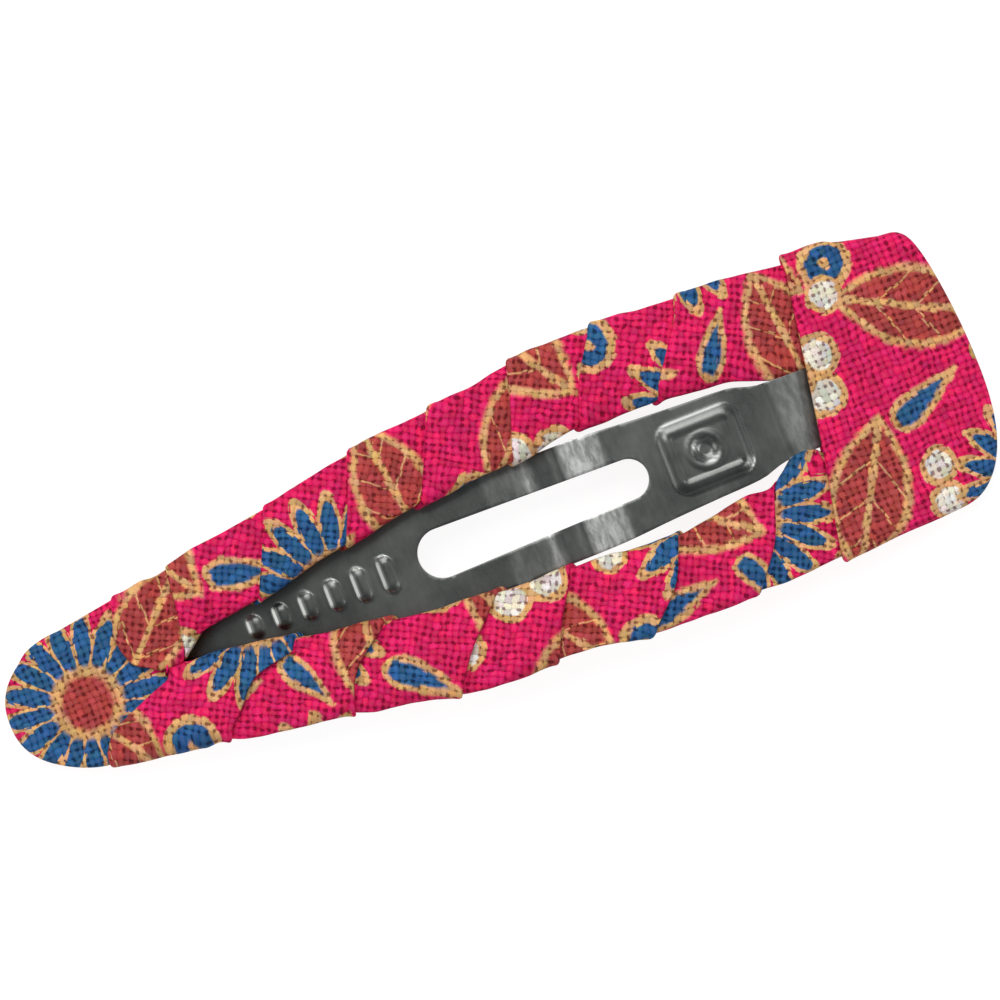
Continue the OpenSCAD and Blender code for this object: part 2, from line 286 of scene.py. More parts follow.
def smooth_between(start, end, slope_out, slope_in, u):
    """From start to end as u goes from 0 to 1, with the given slopes at both ends."""
    rise = end - start
    bow = 3 * rise - 2 * slope_out - slope_in + u * (slope_out + slope_in - 2 * rise)
    return start + u * (slope_out + u * bow)


def curve_through(rows, x):
    """A smooth curve through rows of (place, value), level beyond the ends."""
    places, values = np.asarray(rows, float).T
    rows_at = np.arange(len(places))
    last = rows_at[-1]
    after, before = np.minimum(rows_at + 1, last), np.maximum(rows_at - 1, 0)
    slope = (values[after] - values[before]) / (places[after] - places[before])
    i = np.clip(np.searchsorted(places, x, side="right") - 1, 0, last - 1)
    gap = places[i + 1] - places[i]
    u = np.clip((x - places[i]) / gap, 0, 1)
    return smooth_between(values[i], values[i + 1], slope[i] * gap, slope[i + 1] * gap, u)


def ease(x, start, end):
    u = np.clip((x - start) / (end - start), 0, 1)
    return u * u * (3 - 2 * u)


def mix(a, b, share):
    return a + (b - a) * share


def ridge(distance, height, middle, width):
    """A soft ridge, or a groove where the height is below zero."""
    return height * np.exp(-np.square((distance - middle) / width))


def arch_z(x):
    return end_z + arch_rise - arch_r + np.sqrt(arch_r ** 2 - np.square(x))


def outer_y(x):
    return blank_w / 2 * curve_through(outline, (x - tip_x) / blank_len)


def inner_y(x):
    return outer_y(x) - arm_w * curve_through(arm, (x - tip_x) / blank_len)


def free_half(x):
    return inner_y(x) - cloth_stack - curve_through(tongue_side, (bend_x - x) / tongue_len)


def tongue_half(x):
    """Half the tongue's width: it follows the cloth, then tapers to its round tip."""
    taper_x = bend_x - tongue_taper * tongue_len
    round_x = bend_x - tongue_len + tongue_tip_r
    wide = mix(free_half(x), root_w / 2, ease(x, bend_x - shoulder_len, bend_x))
    tapered = mix(tongue_tip_r, free_half(np.array(taper_x)), (x - round_x) / (taper_x - round_x))
    return np.where(x > taper_x, wide, tapered)


def tongue_z(x):
    """Height of the tongue's middle, with each bend pressed to a small radius."""
    places, drops = np.array(tongue_bends).T
    offsets = np.linspace(-bend_softness, bend_softness, 7)
    drop = np.mean([np.interp(x + o, places, drops) for o in offsets], axis=0)
    return arch_z(x) - np.where(x > bend_x, 0, drop)


# The wide end: squarer above than below, drawn in above, and bowed on its closed side
corner_powers = (10.0, 3.2)
end_draw = 0.095
end_draw_from = 23.0
end_draw_to = 29.5
end_bow = 0.0120
end_bow_y = -1.5
cloth_room = 0.8


def end_plan(x, y):
    """Draw the wide end in above and bow its closed side, as the clip's real outline is."""
    y = np.where(y > 0, y * (1 - end_draw * ease(x, end_draw_from, end_draw_to)), y)
    past = np.clip((x - corner_x) / (corner_len + cloth_room), 0, 1)
    return x - end_bow * np.square(y - end_bow_y) * past, y


def corner_point(angle, power, room=0.0):
    """A place on a corner of the wide end; a higher power makes the corner squarer."""
    return (corner_x + (corner_len + room) * max(math.cos(angle), 0) ** (2 / power),
            outer_y(corner_x) * math.sin(angle) ** (2 / power))


def arc(cx, cy, r, start, end, count):
    angles = np.radians(np.linspace(start, end, count))
    return [(cx + r * math.cos(a), cy + r * math.sin(a)) for a in angles]


def both_sides(side):
    return side + [(x, -y) for x, y in reversed(side)]


def closer_points(loop, step):
    """The same closed loop with its points no further apart than a step."""
    result = []
    for (x0, y0), (x1, y1) in zip(loop, loop[1:] + loop[:1]):
        count = max(1, round(math.hypot(x1 - x0, y1 - y0) / step))
        result += [(mix(x0, x1, i / count), mix(y0, y1, i / count)) for i in range(count)]
    return result


def inside(points, loop):
    """Which points lie inside a closed loop."""
    px, py = points[:, 0], points[:, 1]
    found = np.zeros(len(points), bool)
    for (x0, y0), (x1, y1) in zip(loop, loop[1:] + loop[:1]):
        if y0 != y1:
            crosses = (y0 > py) != (y1 > py)
            found ^= crosses & (px < (x1 - x0) * (py - y0) / (y1 - y0) + x0)
    return found


coarse_step = 0.7
fine_step = 0.17
rim_clearance = 0.55 * fine_step


def weld(mesh, distance):
    """Join a mesh's points that lie within a distance in millimetres, and turn its faces out."""
    body = bmesh.new()
    body.from_mesh(mesh)
    bmesh.ops.remove_doubles(body, verts=body.verts, dist=distance * MM)
    bmesh.ops.recalc_face_normals(body, faces=body.faces)
    if body.calc_volume(signed=True) < 0:
        bmesh.ops.reverse_faces(body, faces=body.faces)
    body.to_mesh(mesh)
    body.free()


def flat_sheet(outer, hole, step, fine_box=None):
    """Triangles that fill an outline but not its hole, on a grid that can be finer in a box."""
    outer = closer_points(outer, fine_step)
    hole = closer_points(hole, fine_step)
    grids = [(step, np.min(outer, axis=0), np.max(outer, axis=0))]
    if fine_box:
        grids.append((fine_step, *fine_box))
    spots = []
    for spacing, low, high in grids:
        columns, rows = [np.arange(low[axis], high[axis], spacing) for axis in (0, 1)]
        gx, gy = np.meshgrid(columns, rows)
        spots.append(np.column_stack([gx.ravel(), gy.ravel()]) + spacing / 2)
    spots = np.concatenate(spots)
    spots = spots[inside(spots, outer) & ~inside(spots, hole)]
    rim = np.array(outer + hole)
    near = np.array([np.min(np.hypot(*(rim - s).T)) for s in spots])
    spots = spots[near > rim_clearance]
    points = [Vector(p) for p in outer + hole + spots.tolist()]
    n, m = len(outer), len(hole)
    edges = [(i, (i + 1) % n) for i in range(n)] + [(n + i, n + (i + 1) % m) for i in range(m)]
    flat, _, faces, _, _, _ = delaunay_2d_cdt(points, edges, [], 1, 1e-5)
    flat = np.array([tuple(p) for p in flat])
    faces = np.array([f for f in faces if len(f) == 3])
    middles = flat[faces].mean(1)
    return flat, faces[inside(middles, outer) & ~inside(middles, hole)]


def line_along(xs, half):
    return [(float(x), float(half(x))) for x in xs]


nose = [(nose_x - nose_len * math.cos(a), outer_y(nose_x) * math.sin(a))
        for a in np.radians(np.arange(7.5, 90.1, 7.5))]
corner_angles = np.radians(np.arange(90, 4, -5))
corners = [[corner_point(angle, power) for angle in corner_angles] for power in corner_powers]
sides = line_along(np.linspace(nose_x, corner_x, 50)[1:-1], outer_y)
blank_loop = nose + sides + corners[0] + [(x, -y) for x, y in reversed(nose + sides + corners[1])]
blank_loop = [tuple(float(c) for c in end_plan(x, y)) for x, y in blank_loop]

apex_r = inner_y(opening_x + 1.2)
notch_r = (inner_y(opening_end_x) - root_w / 2) / 2
notch_x = opening_end_x - notch_r
opening_loop = both_sides(
    arc(opening_x + apex_r, 0, apex_r, 172, 90, 8)
    + line_along(np.linspace(opening_x + apex_r, notch_x, 60)[1:-1], inner_y)
    + arc(notch_x, root_w / 2 + notch_r, notch_r, 90, -90, 16) + [(bend_x, root_w / 2)])

tongue_end_x = bend_x - tongue_len + tongue_tip_r
tongue_loop = both_sides(
    line_along(np.linspace(bend_x, tongue_end_x, 90), tongue_half)
    + arc(tongue_end_x, 0, tongue_tip_r, 96, 178, 8))
front_r, back_r = slot_radii
slot_loop = (
    arc(slot_ends[0] + front_r, 0, front_r, 90, 270, 24)
    + arc(slot_ends[1] - back_r, 0, back_r, -90, 90, 24))

fine_box = ((bend_x, -2.6), (band_x + 1.5, 2.6))
blank_flat, blank_faces = flat_sheet(blank_loop, opening_loop, coarse_step, fine_box)
tongue_flat, tongue_faces = flat_sheet(tongue_loop, slot_loop, fine_step)
blank_points = np.column_stack([blank_flat, arch_z(blank_flat[:, 0])])
tongue_points = np.column_stack([tongue_flat, tongue_z(tongue_flat[:, 0])])

sheet_mesh = bpy.data.meshes.new("sprung_sheet")
sheet_mesh.from_pydata(
    np.concatenate([blank_points, tongue_points]) * MM, [],
    np.concatenate([blank_faces, tongue_faces + len(blank_points)]).tolist())
weld(sheet_mesh, 0.02)
sprung_sheet = placed("sprung_sheet", sheet_mesh)


def as_plain_mesh(piece):
    """Turn a piece and its live modifiers into one plain mesh, and drop the modifiers."""
    graph = bpy.context.evaluated_depsgraph_get()
    live = piece.evaluated_get(graph)
    mesh = bpy.data.meshes.new_from_object(live, preserve_all_data_layers=True, depsgraph=graph)
    mesh.name = piece.name
    piece.modifiers.clear()
    piece.data = mesh
    mesh.polygons.foreach_set("use_smooth", [True] * len(mesh.polygons))


# Pressed marks: a plain pad with a dimple, and a row of beads that grow smaller to the tip.
# The pad's rim and the dimple's lip are soft ridges, each with its height, middle and width.
pad_x = bend_x - 4.7
pad_size = (5.0, 4.3)
pad_corner = 0.9
pad_h = 0.15
pad_slope = (-0.32, 0.12)
pad_rim = (0.09, -0.52, 0.15)
dimple_depth = 0.20
dimple_slope = (0.35, 0.95)
dimple_lip = (0.06, 1.0, 0.16)
bend_line = (-0.05, bend_x, 0.12)
bead_start = bend_x - 25
bead_pitch = 1.7
bead_count = 6
bead_bar = 1.4
bead_h = 0.15
bead_half = 0.50
bead_flat = 0.08
bead_taper = 0.13


def pressed_relief(x, y):
    """How far the die has pushed the sheet up at a place."""
    qx = np.abs(x - pad_x) - pad_size[0] / 2 + pad_corner
    qy = np.abs(y) - pad_size[1] / 2 + pad_corner
    off_corner = np.hypot(np.maximum(qx, 0), np.maximum(qy, 0)) - pad_corner
    off_pad = off_corner + np.minimum(np.maximum(qx, qy), 0)
    off_dimple = np.hypot(x - pad_x, y)
    pad = pad_h * (1 - ease(off_pad, *pad_slope)) + ridge(off_pad, *pad_rim)
    return pad - dimple_depth * (1 - ease(off_dimple, *dimple_slope)) + ridge(off_dimple, *dimple_lip)


points = np.array([v.co for v in sprung_sheet.data.vertices]) / MM
on_tongue = (np.abs(points[:, 2] - tongue_z(points[:, 0])) < 0.01) & (points[:, 0] < bend_x)
points[:, 2] += np.where(on_tongue, pressed_relief(points[:, 0], points[:, 1]), 0)
points[:, 2] += ridge(points[:, 0], *bend_line)
sprung_sheet.data.vertices.foreach_set("co", (points * MM).ravel())

# Painted reflection and scuffing at each bend and facet: how much lighter the oiled skin is painted where
# a bend or facet would catch the lamps and where it is worn: place along the clip, share
facet_glints_and_scuffs = [
    (-26.0, 0.00), (-5.0, 0.05), (0.4, 0.05), (0.7, 0.18), (1.9, 0.11), (3.0, 0.25), (3.25, 0.75),
    (3.6, 0.28), (4.0, 0.10), (4.7, 0.05), (5.0, 0.22), (5.3, 0.04), (5.6, 0.72), (6.5, 0.90),
    (7.2, 0.72), (7.9, 0.52), (8.2, 0.08), (12.0, 0.04), (18.3, 0.06), (18.5, 0.00), (18.9, 0.26),
    (20.3, 0.34), (22.0, 0.30)]
OILED_DARK = (0.080, 0.085, 0.079, 1)
OILED_PALE = (0.106, 0.111, 0.104, 1)
BRUSHED = (0.125, 0.130, 0.124, 1)
# Pale colour of the scuffs and of the painted glints on the bends and facets
SCUFF_AND_GLINT = (0.580, 0.585, 0.565, 1)
# Pale colour of the painted glint and worn skin on the sheet's edges
EDGE_GLINT_AND_WEAR = (0.620, 0.620, 0.600, 1)

steel_finish, tree, shader = new_finish("oiled_spring_steel", Metallic=1.0, Specular_IOR_Level=0.5)
place = put(tree, "ShaderNodeTexCoord", output=3)
millimetres = scaled(place, 1 / MM, 1 / MM, 1 / MM)
brushed = noise(scaled(millimetres, 0.35, 2.4, 1.0), 3.0, 4.0)
blotches = noise(millimetres, 0.35, 4.0)
smears = noise(scaled(millimetres, 2.2, 0.8, 1.0), 1.6, 4.0, 0.6)
facet_table_from, facet_table_to = facet_glints_and_scuffs[0][0], facet_glints_and_scuffs[-1][0]
along = put(tree, "ShaderNodeMapRange", inputs=(parts_of(millimetres)[0], facet_table_from, facet_table_to))
facets = put(tree, "ShaderNodeValToRGB", inputs=(along,))
stops = facets.node.color_ramp.elements
while len(stops) < len(facet_glints_and_scuffs):
    stops.new(1.0)
for stop, (x, share) in zip(stops, facet_glints_and_scuffs):
    stop.position = (x - facet_table_from) / (facet_table_to - facet_table_from)
    stop.color = (share, share, share, 1)
edge_glint_and_wear = put(tree, "ShaderNodeAttribute", output=2, attribute_name="edge_glint_and_wear")
# Painted reflections on the bends and facets, streaked by the scuffed wear; the same share also roughens
# and bumps the skin
scuffs_and_glints = times(facets, ramp(smears, 0.32, 0.68, 0.55, 1.15))
colour = blend_colour(ramp(blotches, 0.3, 0.7), OILED_DARK, OILED_PALE)
colour = blend_colour(times(brushed, 0.20), colour, BRUSHED)
colour = blend_colour(scuffs_and_glints, colour, SCUFF_AND_GLINT)
# A painted glint on the sheet's edges and the relief's steep sides, which also reads as skin worn off
# them
colour = blend_colour(times(edge_glint_and_wear, 0.8), colour, EDGE_GLINT_AND_WEAR)
rough = plus(ramp(blotches, 0.2, 0.8, 0.25, 0.34), times(scuffs_and_glints, 0.10))
rough = minus(rough, times(edge_glint_and_wear, 0.10))
fill(shader, (("Base Color", colour), ("Roughness", rough)))
bumped(shader, times(smears, scuffs_and_glints), 0.3, 0.03 * MM)

# The row of beads: a line of short bars laid across the tongue, and the sheet raised near them
press, taken, gives = new_group(
    "pressed_beads",
    [("Sheet", "Geometry", None), ("Beads", "Int", bead_count), ("First Place", "Float", bead_start * MM),
     ("Pitch", "Float", bead_pitch * MM), ("First Width", "Float", bead_bar * MM),
     ("Height", "Float", bead_h * MM), ("Half Thickness", "Float", bead_half * MM)],
    [("Sheet", "Geometry")], "GeometryNodeTree")


def bead_node(kind, *inputs, output=0, **settings):
    return put(press, "GeometryNode" + kind, None, inputs, output, **settings)


first = xyz(taken["First Place"])
offset = xyz(times(taken["Pitch"], -1.0))
row = bead_node("MeshLine", taken["Beads"], None, first, offset)
bar = bead_node("MeshLine", 2, None, (0, -0.5, 0), (0, 1, 0))
shrink = minus(1.0, times(bead_node("InputIndex"), bead_taper))
bar_scale = xyz(1.0, times(taken["First Width"], shrink), 1.0)
bars = bead_node("InstanceOnPoints", row, None, bar, None, None, None, bar_scale)
bars = bead_node("RealizeInstances", bars)
flat = scaled(bead_node("InputPosition"), 1, 1, 0)
away = bead_node("Proximity", bars, None, flat, output=1, target_element="EDGES")
lift_by = ramp(away, bead_flat * MM, taken["Half Thickness"], taken["Height"], 0.0)
lifted = xyz(None, None, lift_by)
pressed = bead_node("SetPosition", taken["Sheet"], None, None, lifted)
pressed = bead_node("RealizeInstances", pressed)
give(gives, bead_node("SetMaterial", pressed, None, steel_finish))
modifiers = sprung_sheet.modifiers
set_up(modifiers.new("pressed beads", "NODES"), node_group=press)
set_up(modifiers.new("sheet thickness", "SOLIDIFY"), thickness=sheet_t * MM, offset=0)
set_up(modifiers.new("blanked edge", "BEVEL"), width=0.12 * MM, segments=3, limit_method="ANGLE",
       angle_limit=math.radians(55))
as_plain_mesh(sprung_sheet)

# A painted glint, with the skin worn off, on the sheet's edges: the pale edge colour goes on all faces
# that don't look up or down
level_facing = 0.93
facing_softness = 0.2
facing = np.empty(len(sprung_sheet.data.polygons) * 3)
sprung_sheet.data.polygons.foreach_get("normal", facing)
edge_glint_and_wear = np.clip((level_facing - np.abs(facing[2::3])) / facing_softness, 0, 1)
sprung_sheet.data.attributes.new("edge_glint_and_wear", "FLOAT", "FACE").data.foreach_set("value", edge_glint_and_wear)
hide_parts("steel_frame", "steel_tongue")
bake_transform(sprung_sheet)

# Cap over the tip
# A scrap of printed plain-weave cotton glued over the rounded tip, under the first turns of
# both strips. The weave and the print are the same cloth as on every other covered part.
layer_gap = 0.06
cap_t = 0.35
crown = 0.12
under_crown = -0.03
cap_edge_x = opening_x + 0.9
cap_bow = 1.1
thread_pitch = 0.42

PINK = (0.690, 0.010, 0.104, 1)
BLUE = (0.020, 0.100, 0.250, 1)
RUST = (0.400, 0.050, 0.048, 1)
GOLD = (0.680, 0.370, 0.150, 1)
WHITE = (0.740, 0.680, 0.580, 1)
# Colour of the painted highlight on the thread tops, a pale rubbed tint
RUBBED_HIGHLIGHT = (0.950, 0.800, 0.750, 1)
# Colour the painted shade in the pinholes is multiplied by
PINHOLE_SHADE = (0.400, 0.300, 0.330, 1)

# Plain weave: which crossing a place is on, how high the thread stands there, where the
# pinholes between the threads are, and how each thread differs from the next
weave, takes, gives = new_group(
    "plain_weave",
    [("Place", "Vector", None), ("Pitch", "Float", thread_pitch)],
    [("Crossing", "Vector"), ("Height", "Float"), ("Pinhole", "Float"), ("Shade", "Float")])
drift = vector_calc("SUBTRACT", noise(takes[0], 0.55, 3.0, 0.6, True), (0.5, 0.5, 0.5))
wander = vector_calc("ADD", takes[0], scaled(drift, 0.75, 0.75, 0))
counted = vector_calc("DIVIDE", wander, xyz(takes[1], takes[1], takes[1]))
crossing = vector_calc("FLOOR", counted)
middle = vector_calc("ADD", crossing, (0.5, 0.5, 0))
off = parts_of(vector_calc("SUBTRACT", counted, middle))
off_u = calc("ABSOLUTE", off[0])
off_v = calc("ABSOLUTE", off[1])
number = parts_of(crossing)
over = calc("FLOORED_MODULO", plus(number[0], number[1]), 2)
across = between(over, off_u, off_v)
length = between(over, off_v, off_u)
rounded = calc("MAXIMUM", calc("COSINE", times(across, 2.9)), 0.0)
bowed = plus(0.45, times(calc("COSINE", times(length, 3.1)), 0.55))
nearest_hole = vector_calc("FLOOR", vector_calc("ADD", counted, (0.5, 0.5, 0)))
hole = parts_of(random_at(nearest_hole))
longer = times(minus(hole[0], 0.40), 0.15)
nearest = calc("MINIMUM", minus(off_u, longer), plus(off_v, longer))
opened = plus(nearest, times(minus(hole[1], 0.5), 0.22))
own = random_at(crossing, 0)
slub_u = noise(scaled(crossing, 0.11, 1.7, 1), 1.0, 2.0)
slub_v = noise(scaled(crossing, 1.7, 0.11, 1), 1.0, 2.0)
slub = between(over, slub_u, slub_v)
give(gives,
     vector_calc("MULTIPLY", middle, xyz(takes[1], takes[1], 0)),
     times(calc("SQRT", rounded), bowed),
     ramp(opened, 0.22, 0.40),
     plus(times(own, 0.5), times(slub, 0.5)))

repeat_len = 24.0
rosette_centre = (17.0, 16.2)


def motif(name):
    """Start a printed motif: its group, count and outputs, and its own turned, scaled place."""
    group, takes, gives = new_group(
        name,
        [("Place", "Vector", None), ("Centre", "Vector", None), ("Turn", "Float", 0.0),
         ("Size", "Float", 1.0), ("Count", "Float", 6.0)],
        [("Colour", "Color"), ("Mask", "Float")])
    half = repeat_len / 2
    local = vector_calc("SUBTRACT", takes[0], takes[1])
    local = vector_calc("WRAP", local, (half, half, half), (-half, -half, -half))
    local = put(group, "ShaderNodeVectorRotate", inputs=(local, (0, 0, 0), (0, 0, 1), takes[2]))
    local = vector_calc("DIVIDE", local, xyz(takes[3], takes[3], takes[3]))
    px, py, _ = parts_of(local)
    return group, takes[4], gives, px, py


def within(value, limit, softness=0.045):
    """A soft mask that is 1 where a value is under its limit."""
    return ramp(value, limit - softness, limit + softness, 1.0, 0.0)


def petalled(name, spread, petal_middle, reach, rims, core, inks):
    """A flower: petals about a disc, every petal and the disc with an ochre rim.

    A petal fills twice the spread of its sector and reaches in and out from its middle. The
    rims are where its gold and its ink end, as shares of its size, and the disc ends at core.
    """
    group, count, gives, px, py = motif(name)
    radius = length_of(px, py)
    sector = calc("DIVIDE", 2 * math.pi, count)
    swing = calc("WRAP", calc("ARCTAN2", py, px), times(sector, 0.5), times(sector, -0.5))
    from_petal = calc("DIVIDE", times(swing, radius), times(sector, spread))
    outward = calc("DIVIDE", minus(radius, petal_middle), reach)
    petal = length_of(from_petal, outward)
    colour = blend_colour(within(petal, rims[1]), GOLD, inks[0])
    colour = blend_colour(within(radius, 0.40), colour, GOLD)
    colour = blend_colour(within(radius, 0.30), colour, inks[1])
    give(gives, colour, calc("MAXIMUM", within(petal, rims[0]), within(radius, core)))
    return group


flower = petalled("printed_flower", 0.34, 0.68, 0.30, (1.12, 0.74), 0.46, (WHITE, BLUE))
rosette = petalled("printed_rosette", 0.33, 0.66, 0.36, (1.14, 0.80), 0.44, (BLUE, RUST))

# A leaf: an almond with an ochre rim, a straight midrib and veins
leaf, _, gives, px, py = motif("printed_leaf")
side = calc("ABSOLUTE", py)
past_edge = minus(side, times(minus(1.0, times(px, px)), 0.50))
veins = calc("PINGPONG", minus(px, side), 0.24)
ribs = calc("MAXIMUM", within(side, 0.045, 0.02), within(veins, 0.014, 0.015))
colour = blend_colour(ribs, RUST, GOLD)
colour = blend_colour(within(past_edge, -0.08, 0.03), GOLD, colour)
give(gives, colour, within(past_edge, 0.02))

# A drop: blue, round at one end and drawn out at the other, with an ochre rim
drop, _, gives, px, py = motif("printed_drop")
body = calc("SQRT", calc("MAXIMUM", minus(1.0, times(px, px)), 0.0))
taper = plus(0.30, times(px, 0.24))
past_edge = minus(calc("ABSOLUTE", py), times(body, taper))
past = calc("MAXIMUM", past_edge, minus(calc("ABSOLUTE", px), 0.98))
give(gives, blend_colour(within(past, -0.12), GOLD, BLUE), within(past, 0.04))

# A spot: a disc with an ochre rim, blue with an ochre eye or white without one
spot, is_blue, gives, px, py = motif("printed_spot")
radius = length_of(px, py)
colour = blend_colour(calc("GREATER_THAN", is_blue, 0.5), WHITE, BLUE)
colour = blend_colour(times(within(radius, 0.20), is_blue), colour, GOLD)
give(gives, blend_colour(within(radius, 0.70), GOLD, colour), within(radius, 1.0))

# The repeat of the print: motif, centre, turn, size, count of petals (or 1 for a blue spot)
print_repeat = [
    (leaf, (12.9, 6.0), 0.60, 4.9, 0), (leaf, (4.0, 13.8), -1.0, 4.9, 0),
    (leaf, (8.2, 21.2), 0.15, 4.5, 0), (leaf, (20.9, 5.4), -0.75, 4.3, 0),
    (drop, (9.2, 11.8), 1.3, 2.6, 0), (drop, (22.6, 22.8), 2.2, 2.6, 0), (drop, (9.4, 17.0), 2.6, 2.1, 0),
    (spot, (17.4, 1.2), 0, 1.8, 1), (spot, (23.2, 10.2), 0, 1.7, 1), (spot, (13.3, 0.6), 0, 1.3, 0),
    (spot, (15.0, 22.9), 0, 1.3, 0), (spot, (0.8, 9.3), 0, 1.2, 0), (spot, (1.4, 19.7), 0, 1.4, 0),
    (spot, (13.2, 10.6), 0, 1.2, 0), (spot, (8.9, 0.7), 0, 1.2, 0), (spot, (17.6, 9.6), 0, 1.1, 0),
    (spot, (15.4, 10.1), 0, 1.2, 0), (flower, (4.4, 4.8), 0.3, 3.8, 6),
    (rosette, rosette_centre, 0.1, 5.5, 18)]
printed, takes, gives = new_group(
    "folk_print", [("Place", "Vector", None), ("Crossing", "Vector", None)], [("Colour", "Color")])
ragged = vector_calc("SUBTRACT", random_at(takes[1]), (0.5, 0.5, 0.5))
inked = vector_calc("ADD", takes[0], scaled(ragged, 0.18, 0.18, 0))
colour = PINK
for group, centre, turn, size, count in print_repeat:
    stamp = use_group(printed, group, Place=inked, Centre=(*centre, 0), Turn=turn, Size=size, Count=count)
    colour = blend_colour(stamp["Mask"], colour, stamp["Colour"])
tint = random_at(vector_calc("ADD", takes[1], (7, 3, 5)))
tint = vector_calc("MULTIPLY_ADD", tint, (0.16, 0.16, 0.34), (0.92, 0.92, 0.83))
give(gives, blend_colour(1.0, colour, tint, "MULTIPLY"))


def cotton(name, shift, turn):
    """The printed cotton, cut with its repeat shifted and turned for one piece."""
    material, tree, shader = new_finish(name, Roughness=0.85, Specular_IOR_Level=0.11)
    uv = put(tree, "ShaderNodeUVMap", uv_map="cloth_mm")
    woven = use_group(tree, weave, Place=uv)
    cut = put(tree, "ShaderNodeMapping", inputs=(uv, (*shift, 0), (0, 0, turn)))
    ink = use_group(tree, printed, Place=cut, Crossing=woven["Crossing"])["Colour"]
    fuzz = noise(uv, 9.0, 2.0)
    # Each thread's own tone and fuzz, times a painted shade that darkens the low parts of the threads
    # between their tops
    tone_and_thread_shade = times(ramp(woven["Shade"], 0.15, 0.85, 0.76, 1.24),
                  ramp(woven["Height"], 0.0, 0.8, 0.86, 1.03))
    tone_and_thread_shade = times(tone_and_thread_shade, ramp(fuzz, 0.30, 0.70, 0.84, 1.10))
    ink = blend_colour(1.0, ink, xyz(tone_and_thread_shade, tone_and_thread_shade, tone_and_thread_shade), "MULTIPLY")
    # A painted highlight, a pale tint like rubbed cotton, on the thread tops where the threads stand
    # highest
    rubbed_highlight = times(ramp(woven["Height"], 0.6, 1.0), 0.025)
    ink = blend_colour(rubbed_highlight, ink, RUBBED_HIGHLIGHT)
    # Painted shade in the pinholes between the threads
    ink = blend_colour(woven["Pinhole"], ink, blend_colour(1.0, ink, PINHOLE_SHADE, "MULTIPLY"))
    fill(shader, (("Base Color", ink),))
    bumped(shader, plus(woven["Height"], times(fuzz, 0.35)), 0.6, 0.10 * MM)
    return material


# Round an arm's section, in shares of the way round: its top, its outer side, its underside and
# its inner side. Each side turns by two rolls, with the sheet's edge between them.
top_share = 0.345
under_share = 0.845
edge_roll = 0.36
outer_rolls = [mix(top_share, 0.5, part) for part in (0, edge_roll, 1 - edge_roll, 1)]
inner_rolls = [mix(under_share, 1, part) for part in (0, edge_roll, 1 - edge_roll, 1)]


def section_at(s):
    """Share across the arm, side of the sheet, and which way the cloth stands off, at s."""
    share = np.interp(s, [0, top_share, 0.5, under_share, 1], [0, 1, 1, 0, 0])
    side = np.interp(s, outer_rolls[1:3] + inner_rolls[1:3], [1, -1, -1, 1])
    turn = np.interp(s, outer_rolls + inner_rolls, [0, 1, 1, 2, 2, 3, 3, 4]) * math.pi / 2
    return share, side, np.sin(turn), np.cos(turn)


def crowned(share, up):
    """How far the cloth stands off the middle of the sheet's upper and lower face."""
    return np.where(up > 0, crown, under_crown) * 16 * np.square(share * (1 - share))


# Waves of the cloth: pace along x, y and z, pace with the seed, start, share
cloth_waves = [
    (1.31, 0.70, 2.1, 1.0, 0.0, 0.36), (-1.90, 0.83, 1.3, 1.7, 1.0, 0.28),
    (3.10, -2.30, 0.9, 2.3, 2.0, 0.20), (4.30, 2.20, -1.7, 0.6, 4.0, 0.16)]


def ripple(x, y, z, seed=0.0):
    """Small uneven waves of cloth, between about -1 and 1."""
    return sum(share * np.sin(by_x * x + by_y * y + by_z * z + by_seed * seed + start)
               for by_x, by_y, by_z, by_seed, start, share in cloth_waves)


def skin_mesh(name, rings, uv, caps, girth=0.0):
    """A closed skin through rings of points, with the cloth's own millimetres as its UV map."""
    count, around, _ = rings.shape
    uv_after = np.roll(uv, -1, axis=1)
    uv_after[:, -1, 1] += girth
    corners = np.stack([uv[:-1], uv_after[:-1], uv_after[1:], uv[1:]], axis=2).reshape(-1, 2)
    index = np.arange(count * around).reshape(count, around)
    after = np.roll(index, -1, axis=1)
    quads = np.stack([index[:-1], after[:-1], after[1:], index[1:]], axis=-1).reshape(-1, 4)
    mesh = bpy.data.meshes.new(name)
    mesh.from_pydata(rings.reshape(-1, 3) * MM, [], quads.tolist() + [
        index[row][face].tolist() for row, face in caps])
    layer = mesh.uv_layers.new(name="cloth_mm")
    corner_of = np.empty(len(mesh.loops), int)
    mesh.loops.foreach_get("vertex_index", corner_of)
    on_corner = uv.reshape(-1, 2)[corner_of]
    on_corner[:len(corners)] = corners
    layer.data.foreach_set("uv", on_corner.ravel())
    weld(mesh, 0.0001)
    mesh.polygons.foreach_set("use_smooth", [True] * len(mesh.polygons))
    return placed(name, mesh)


round_clip = (np.linspace(0, 1, 180, endpoint=False) + 0.6725) % 1
clip_share, clip_side, clip_away, clip_up = section_at(round_clip)
wave_h = 0.03


def around_clip(x, half_up, half_down, stand, flat):
    """Points round the whole clip's section at one place along it."""
    y = (2 * clip_share - 1) * np.where(clip_share > 0.5, half_up, half_down) + clip_away * stand
    off_sheet = clip_up * (stand + crowned(clip_share, clip_up))
    z = arch_z(x) + flat * (clip_side * sheet_t / 2 + off_sheet)
    return np.stack([x + 0 * y, y, z], axis=-1)


def waved(ring, flat, seed=0.0):
    """The height of a ring's points with the cloth's small waves on them."""
    return ring[:, 2] + wave_h * ripple(*ring.T, seed) * flat * np.sign(clip_up)


# How far the cap draws the outline in below, from one place to another, and above, where it
# draws in more before its two places than after them
cap_draw_below = (-0.45, -29.5, -25.0)
cap_draw_above = (-0.10, -0.20, -29.4, -28.4)
